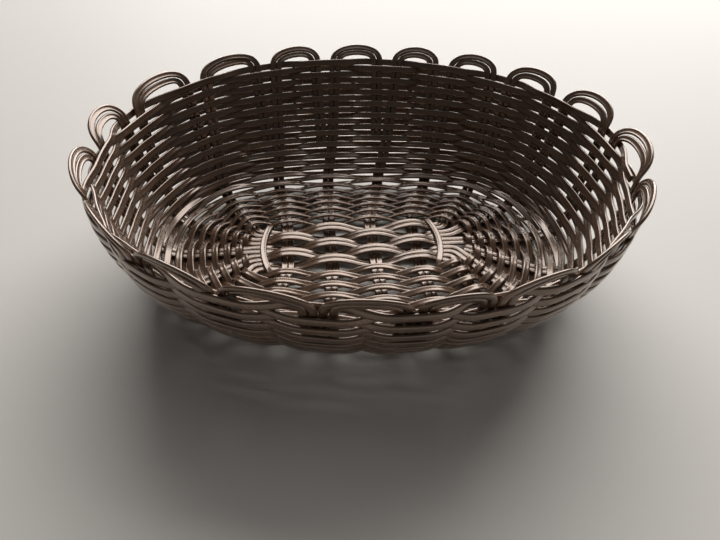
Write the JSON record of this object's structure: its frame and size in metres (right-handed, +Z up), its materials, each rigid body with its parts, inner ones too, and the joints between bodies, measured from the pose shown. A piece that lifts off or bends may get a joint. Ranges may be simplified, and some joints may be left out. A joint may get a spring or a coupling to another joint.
{
  "type": "woven plastic basket",
  "caption": "Oval open basket woven from flat twin-ribbed plastic strands, with splayed walls and a scalloped rim of looped stake ends.",
  "frame": {"origin": "middle of the overall outline, on the plane the basket stands on", "axes": "+X along the long way of the oval, +Y along its short way, +Z up out of the open top"},
  "size_m": [0.2484, 0.2168, 0.075],
  "materials": {
    "length_strand_1_front": "satin brown-bronze extruded plastic",
    "length_strand_1_back": "satin brown-bronze extruded plastic",
    "length_strand_2_front": "satin brown-bronze extruded plastic",
    "length_strand_2_back": "satin brown-bronze extruded plastic",
    "length_strand_3_front": "satin brown-bronze extruded plastic",
    "length_strand_3_back": "satin brown-bronze extruded plastic",
    "length_strand_4_front": "satin brown-bronze extruded plastic",
    "length_strand_4_back": "satin brown-bronze extruded plastic",
    "length_strand_5_front": "satin brown-bronze extruded plastic",
    "length_strand_5_back": "satin brown-bronze extruded plastic",
    "cross_strand_1_right": "satin brown-bronze extruded plastic",
    "cross_strand_1_left": "satin brown-bronze extruded plastic",
    "cross_strand_2_right": "satin brown-bronze extruded plastic",
    "cross_strand_2_left": "satin brown-bronze extruded plastic",
    "cross_strand_3_right": "satin brown-bronze extruded plastic",
    "cross_strand_3_left": "satin brown-bronze extruded plastic",
    "cross_strand_4_right": "satin brown-bronze extruded plastic",
    "cross_strand_4_left": "satin brown-bronze extruded plastic",
    "added_strand_front": "satin brown-bronze extruded plastic",
    "added_strand_back": "satin brown-bronze extruded plastic",
    "binder_left": "satin brown-bronze extruded plastic",
    "binder_right": "satin brown-bronze extruded plastic",
    "base_weaver": "satin brown-bronze extruded plastic",
    "wall_weaver": "satin brown-bronze extruded plastic"
  },
  "bodies": {
    "root": {"length_strand_1_front": "length_strand_1_front", "length_strand_1_back": "length_strand_1_back", "length_strand_2_front": "length_strand_2_front", "length_strand_2_back": "length_strand_2_back", "length_strand_3_front": "length_strand_3_front", "length_strand_3_back": "length_strand_3_back", "length_strand_4_front": "length_strand_4_front", "length_strand_4_back": "length_strand_4_back", "length_strand_5_front": "length_strand_5_front", "length_strand_5_back": "length_strand_5_back", "cross_strand_1_right": "cross_strand_1_right", "cross_strand_1_left": "cross_strand_1_left", "cross_strand_2_right": "cross_strand_2_right", "cross_strand_2_left": "cross_strand_2_left", "cross_strand_3_right": "cross_strand_3_right", "cross_strand_3_left": "cross_strand_3_left", "cross_strand_4_right": "cross_strand_4_right", "cross_strand_4_left": "cross_strand_4_left", "added_strand_front": "added_strand_front", "added_strand_back": "added_strand_back", "binder_left": "binder_left", "binder_right": "binder_right", "base_weaver": "base_weaver", "wall_weaver": "wall_weaver"}
  },
  "joints": []
}
